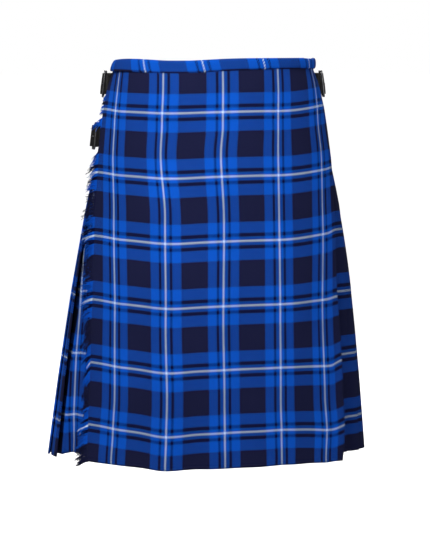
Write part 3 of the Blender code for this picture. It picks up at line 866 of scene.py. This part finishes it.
strapShape = {
    "width": 32 * mm,
    "thickness": 2.2 * mm,
    "roots": (-24 * mm, -12 * mm, 0.0, 3 * mm),  # the sewn end's places past the apron's edge
    # course of the strap and of the tab: past the apron's edge, height over its line, mm
    "course": ((12, -0.9), (18.5, 1.3), (29, 6.9), (34.5, 6.9), (46, 0.8), (62, 0.0), (80, -1.6), (87, -2.2)),
    "tabCourse": ((25, 0.0), (34, 0.0), (44, -3.2), (56, -3.2), (67, -3.2)),
    "tabThickness": 2.0 * mm,
    "tip": (13 * mm, 0.86, 1.9),  # the strap's point: length, how much it narrows, how round it is
    "tabEnd": (5 * mm, 0.16, 2),
    "slot": (24.0 * mm, 9.0 * mm, 4.2 * mm),  # middle, length and width of the prong's slot
    "hole": (70 * mm, 3.2 * mm),  # middle and width
    "crease": (1.9 * mm, 0.5 * mm, 0.28 * mm),  # pressed line: how far in, half width, depth
    "edgeRound": 0.8 * mm,
    "frame": (8 * mm, 34 * mm, 41 * mm),  # buckle's two ends and its height
    "bar": 3.9 * mm,
    "frameThickness": 3.0 * mm,
    "frameLevel": 2.9 * mm,
    "frameCorner": 4.5 * mm,
    "prong": ((29.1, 3.2), (26.1, 4.6), (20.1, 5.6), (12, 5.7), (8, 5.5), (6.4, 5.1)),  # its course, mm
    "keeper": (50 * mm, 60 * mm),
    "keeperFoot": -4.0 * mm,
    "keeperTop": 3.2 * mm,
    "keeperThickness": 1.5 * mm,
    "stitch": (3.1 * mm, 2.2 * mm, 0.36 * mm),  # pitch, length and radius
    "sewn": (2.5 * mm, 22 * mm, 3.6 * mm),  # stitched box: near and far from the end, in from the sides
    "tabSewn": (24 * mm, 2.5 * mm),
    # the apron's edge on each side, at these drops, mm
    "levelDrops": (18.3, 45, 75, 150),
    "edges": {-1: (203, 207, 211, 214), 1: (197, 199.2, 204.2, 209.2)},
    "upright": (7 * mm, 36 * mm),  # the strap stands upright between these
    # name, node, side, drop, height of the sewn end, how far the buckle stands upright
    "sets": (("rightWaist", "right_waist", -1, 0.0395, -2.5 * mm, 0.7),
             ("rightHip", "right_hip", -1, 0.1180, -2.5 * mm, 0.35),
             ("leftWaist", "left_waist", 1, 0.0395, -4.2 * mm, 0.7)),
}


class StrapPlace:
    # places points by distance past the apron's edge, height over its line and drop
    def __init__(self, side, drop, upright):
        self.side = side
        self.drop = drop
        self.upright = upright
        self.drops = np.array(strapShape["levelDrops"]) * mm
        self.courses = [loopCourse(level) for level in self.drops]

    def at(self, past, level, across):
        past, level, across = np.broadcast_arrays(*np.atleast_1d(past, level, across))
        drop = self.drop + across
        foot = np.full_like(drop, self.drop + 0.5 * strapShape["frame"][2])
        spots = [course.at(self.side * (edge * mm + past), -level)
                 for course, edge in zip(self.courses, strapShape["edges"][self.side])]
        sewn, keeper = strapShape["roots"][-1], strapShape["keeper"][0]
        begin, end = strapShape["upright"]
        share = ease((past - sewn) / (begin - sewn)) * ease((keeper - past) / (keeper - end)) * self.upright
        leaning, standing = self.between(spots, drop), self.between(spots, foot)
        return np.column_stack((leaning + share[:, None] * (standing - leaning), -drop))

    def between(self, spots, drop):
        # straight lines between the levels, as the solids have them
        k = np.clip(np.searchsorted(self.drops, drop) - 1, 0, len(self.drops) - 2)
        low = self.drops[k]
        t = np.clip((drop - low) / (self.drops[k + 1] - low), 0.0, 1.0)[:, None]
        spots = np.array(spots)
        each = np.arange(len(drop))
        return spots[k, each] * (1 - t) + spots[k + 1, each] * t


def smoothCourse(steps):
    # a bend without corners through steps of (past, level); read by distance
    steps = np.array(steps)
    run = runOf(steps)
    fine = np.linspace(0.0, run[-1], 400)
    line = np.column_stack([np.interp(fine, run, steps[:, k]) for k in range(2)])
    window = max(3, int(5 * mm / (fine[1] - fine[0])) | 1)
    before = line[:1] * 2 - line[window // 2:0:-1]
    padded = np.vstack((before, line, line[-1:] * 2 - line[-2:-window // 2 - 1:-1]))
    kernel = np.hanning(window + 2)[1:-1]
    kernel /= kernel.sum()
    return Course(*(np.convolve(padded[:, k], kernel, "valid") for k in range(2)))


def onCourse(bend, spots):
    # spots of flat leather (distance, across, height) to (past, level, across)
    bent = bend.spot(spots[:, 0]) - spots[:, 2:3] * bend.outward(spots[:, 0])
    return bent[:, 0], bent[:, 1], spots[:, 1]


def leatherRing(thickness):
    # cross-section of a leather strip, as (share of half width, edge offset, height)
    edge = strapShape["edgeRound"]
    crease, wide, deep = strapShape["crease"]
    half = 0.5 * thickness
    right = [(1.0, -crease - wide, half), (1.0, -crease, half - deep), (1.0, -crease + wide, half)]
    right += [(1.0, -edge + edge * math.cos(turn), half * math.sin(turn))
              for turn in np.radians((90, 60, 30, 0))]
    top = [(-s, -o, h) for s, o, h in right[::-1]]
    top += [(share, 0.0, half) for share in (-0.6, -0.3, 0.0, 0.3, 0.6)] + right
    return top + [(s, o, -h) for s, o, h in top[-2:0:-1] if h >= half - 0.01 * mm]


def leatherStrip(name, bend, thickness, narrowing, count, space, cutters=()):
    reach = bend.along[-1]
    length, share, power = narrowing
    ring = leatherRing(thickness)
    rings = []
    for distance in np.linspace(0.0, reach, count):
        end = np.clip((distance - (reach - length)) / length, 0.0, 1.0)
        half = 0.5 * strapShape["width"] * (1.0 - share * end**power)
        limit = min(1.0, half / (4 * mm))
        rings.append([(distance, s * half + o * limit, h) for s, o, h in ring])
    item = tubes(name, rings, leather)
    for cutter in cutters:
        punch = item.modifiers.new("punch", "BOOLEAN")
        punch.operation = "DIFFERENCE"
        punch.object = cutter
    applyModifiers(item)
    for cutter in cutters:
        bpy.data.objects.remove(cutter, do_unlink=True)
    spots = np.empty(len(item.data.vertices) * 3)
    item.data.vertices.foreach_get("co", spots)
    item.data.vertices.foreach_set("co", space.at(*onCourse(bend, spots.reshape(-1, 3))).reshape(-1))
    squareUp(item.data)
    item.data.shade_smooth()
    item.data.set_sharp_from_angle(angle=math.radians(50))
    return item


def slotCutter(bend, past, length, width):
    # an upright prism with round ends, for a slot or a hole
    middle = float(np.interp(past, bend.x, bend.along))
    reach, radius = 0.5 * (length - width), 0.5 * width
    turns = np.radians(np.linspace(-90, 90, 9))
    end = np.column_stack((reach + radius * np.cos(turns), radius * np.sin(turns)))
    outline = np.vstack((end, -end)) + (middle, 0.0)
    rings = [np.column_stack((outline, np.full(len(outline), z))) for z in (-5 * mm, 5 * mm)]
    return tubes("cutter", rings, leather)


def roundedPath(halfLong, halfTall, corner, perCorner=8):
    # points round a rectangle with round corners, and the outward side at each
    turns = np.radians(np.concatenate([90 * quarter + np.linspace(0, 90, perCorner) for quarter in range(4)]))
    right = np.repeat((1, -1, -1, 1), perCorner)
    up = np.repeat((1, 1, -1, -1), perCorner)
    awayX, awayY = np.cos(turns), np.sin(turns)
    return list(zip(right * (halfLong - corner) + corner * awayX, up * (halfTall - corner) + corner * awayY,
                    awayX, awayY))


def makeBuckle(name, space):
    shape = strapShape
    start, end, tall = shape["frame"]
    bar = shape["bar"]
    turns = ringTurns(14)
    side = 0.5 * bar * squared(np.cos(turns), 0.8)
    level = shape["frameLevel"] + 0.5 * shape["frameThickness"] * squared(np.sin(turns), 0.8)
    path = roundedPath(0.5 * (end - start - bar), 0.5 * (tall - bar) + 0.15 * mm,
                       shape["frameCorner"] - 0.5 * bar)
    rings = [space.at(0.5 * (start + end) + along + awayX * side, level, across + awayY * side)
             for along, across, awayX, awayY in path]
    return tubes(name, rings, nickel, True)


def makeProng(name, space):
    course = smoothCourse(np.multiply(strapShape["prong"], mm))
    turns = ringTurns(12)
    rings = []
    for share in np.linspace(0.0, 1.0, 22):
        tip = roundEnd((1.0 - share) / 0.07)
        wide, high = (1.6 - 0.6 * share) * mm * tip, (1.0 - 0.15 * share) * mm * tip
        along = np.full(len(turns), share * course.along[-1])
        spots = np.column_stack((along, wide * np.cos(turns), high * np.sin(turns)))
        rings.append(space.at(*onCourse(course, spots)))
    return tubes(name, rings, nickel)


def makeKeeper(name, space):
    start, end = strapShape["keeper"]
    foot, top = strapShape["keeperFoot"], strapShape["keeperTop"]
    thick = strapShape["keeperThickness"]
    turns = ringTurns(16)
    side = 0.5 * thick * squared(np.sin(turns), 0.6)
    past = 0.5 * (start + end) + 0.5 * (end - start) * squared(np.cos(turns), 0.35)
    path = roundedPath(0.5 * strapShape["width"] + thick, 0.5 * (top - foot), 1.8 * mm, 6)
    rings = [space.at(past, 0.5 * (top + foot) + level + awayY * side, across + awayX * side)
             for across, level, awayX, awayY in path]
    return tubes(name, rings, leather, True)


def makeStitches(name, lines, space):
    # each line is (bend, height, start spot, end spot) on flat leather
    pitch, length, radius = strapShape["stitch"]
    turns = ringTurns(6)
    stations = (-1.0, -0.8, -0.3, 0.3, 0.8, 1.0)
    rings = []
    for bend, height, first, last in lines:
        first, last = np.array(first), np.array(last)
        reach = np.hypot(*(last - first))
        heading = (last - first) / reach
        aside = np.array((-heading[1], heading[0]))
        for k in range(int(reach / pitch)):
            middle = first + heading * pitch * (k + 0.5)
            for share in stations:
                size = radius * (0.25 if abs(share) == 1 else 1.0)
                spot = middle + heading * 0.5 * length * share + np.outer(size * np.cos(turns), aside)
                raised = height - 0.5 * radius * share * share + size * np.sin(turns)
                rings.append(space.at(*onCourse(bend, np.column_stack((spot, raised)))))
    return tubes(name, rings, thread, each=len(stations))


def makeStrapSet(name, node, side, drop, root, upright):
    shape = strapShape
    space = StrapPlace(side, drop, upright)
    bend = smoothCourse([(past, root) for past in shape["roots"]] + [*np.multiply(shape["course"], mm)])
    tabBend = smoothCourse(np.multiply(shape["tabCourse"], mm))
    hole, holeWidth = shape["hole"]
    cutters = [slotCutter(bend, *shape["slot"]), slotCutter(bend, hole, holeWidth + 0.01 * mm, holeWidth)]
    parts = {
        "strap": leatherStrip(name + "Strap", bend, shape["thickness"], shape["tip"], 96, space, cutters),
        "tab": leatherStrip(name + "Tab", tabBend, shape["tabThickness"], shape["tabEnd"], 44, space),
        "buckle": makeBuckle(name + "Buckle", space),
        "prong": makeProng(name + "Prong", space),
        "keeper": makeKeeper(name + "Keeper", space),
    }
    for part, item in parts.items():
        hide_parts(node + "_" + part)

    near, far, inset = shape["sewn"]
    inset = 0.5 * shape["width"] - inset
    lifted = 0.5 * shape["thickness"]
    lines = [(bend, lifted, (near, sign * inset), (far, sign * inset)) for sign in (-1, 1)]
    lines += [(bend, lifted, (spot, -inset), (spot, inset)) for spot in (near, far)]
    near, far = (tabBend.along[-1] - spot for spot in shape["tabSewn"])
    lines += [(tabBend, 0.5 * shape["tabThickness"], (near, sign * inset), (far, sign * inset))
              for sign in (-1, 1)]
    stitches = makeStitches(name + "Stitching", lines, space)
    metal = ("buckle", "prong")
    return [(item, "nickel" if part in metal else "leather_black") for part, item in parts.items()] + [
        (stitches, "leather_black")]


strapPieces = [pair for words in strapShape["sets"] for pair in makeStrapSet(*words)]
print("straps made")

view = {
    "azimuth": -4.0,
    "distance": 3.62,
    "height": 0.02,
    "pitch": 5.343,
    "sensor": 24.0,
    "lens": 106.98687,
    "shift": 0.0030019,
}

studio = {
    "surround": 0.20,  # light from all round
    # name, place, size, power
    "lamps": (("keyLight", (-0.50, -1.25, 1.02), 0.9, 26.3),
              ("fillLight", (1.7, -2.2, 0.8), 1.6, 12.0),
              ("backLight", (0.5, 2.4, 0.9), 1.6, 26.0)),
    "aim": (0.0, 0.0, -0.25),
    "floor": -0.80,
    "floorReach": 60.0,
    "floorGlow": 0.90,
    "floorBounce": (0.55, 0.56, 0.60, 1.0),
}


def makeCamera():
    data = bpy.data.cameras.new("camera")
    data.sensor_fit = "VERTICAL"
    data.sensor_height = view["sensor"]
    data.lens = view["lens"]
    data.shift_x = view["shift"]
    data.clip_end = 200.0
    camera = addObject("camera", data)
    side = math.radians(view["azimuth"])
    camera.location = (view["distance"] * math.sin(side), -view["distance"] * math.cos(side), view["height"])
    camera.rotation_euler = (math.radians(90 - view["pitch"]), 0.0, side)
    bpy.context.scene.camera = camera


def makeLights():
    world = bpy.data.worlds.new("studio")
    world.use_nodes = True
    sky = Wire(world.node_tree)
    glow, white = (sky.node("Background", None, {"Color": (1, 1, 1, 1), "Strength": strength})
                   for strength in (studio["surround"], 1.0))
    both = sky.node("MixShader", None, {0: sky.node("LightPath"), 1: glow, 2: white})
    world.node_tree.links.new(both.socket, world.node_tree.nodes["World Output"].inputs["Surface"])
    bpy.context.scene.world = world
    bpy.context.scene.view_settings.view_transform = "Standard"
    for name, spot, size, power in studio["lamps"]:
        lamp = bpy.data.lights.new(name, "AREA")
        lamp.size = size
        lamp.energy = power
        light = addObject(name, lamp)
        light.location = spot
        light.rotation_euler = (Vector(studio["aim"]) - Vector(spot)).to_track_quat("-Z", "Y").to_euler()


def makeFloor():
    reach = studio["floorReach"]
    corners = [(x * reach, y * reach, studio["floor"]) for x, y in ((-1, -1), (1, -1), (1, 1), (-1, 1))]
    material, shader, body = startFinish("paleFloor", {
        "Roughness": 0.9, "Emission Color": (1, 1, 1, 1), "Emission Strength": studio["floorGlow"]})
    tone = cloud(body, 3.0, 2.0)
    feed(shader, {"Base Color": tone.mix(tone, (0.84, 0.84, 0.84, 1.0), (0.88, 0.88, 0.88, 1.0))})
    dim = body.node("BsdfDiffuse", None, {"Color": studio["floorBounce"]})
    both = body.node("MixShader", None,
                     {0: body.node("LightPath"), 1: dim, 2: Wire(body.tree, shader.outputs[0])})
    body.tree.links.new(both.socket, body.tree.nodes["Material Output"].inputs["Surface"])
    place("studioFloor", meshOf("studioFloor", corners, [(0, 1, 2, 3)]), material)


makeCamera()
makeLights()
makeFloor()
print("studio made")

body = next(iter(frame["bodies"]))
for piece, slotName in [(overApron, "wool_tartan"), (underApron, "wool_tartan"), (pleatsLeft, "wool_tartan"),
                        (pleatsRight, "wool_tartan"), (waistband, "wool_band"), (fringe, "wool_yarn"),
                        *strapPieces]:
    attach(piece, body)

print("cloth declared:", overFlat, underFlat, pleatsLeftFlat, pleatsRightFlat)
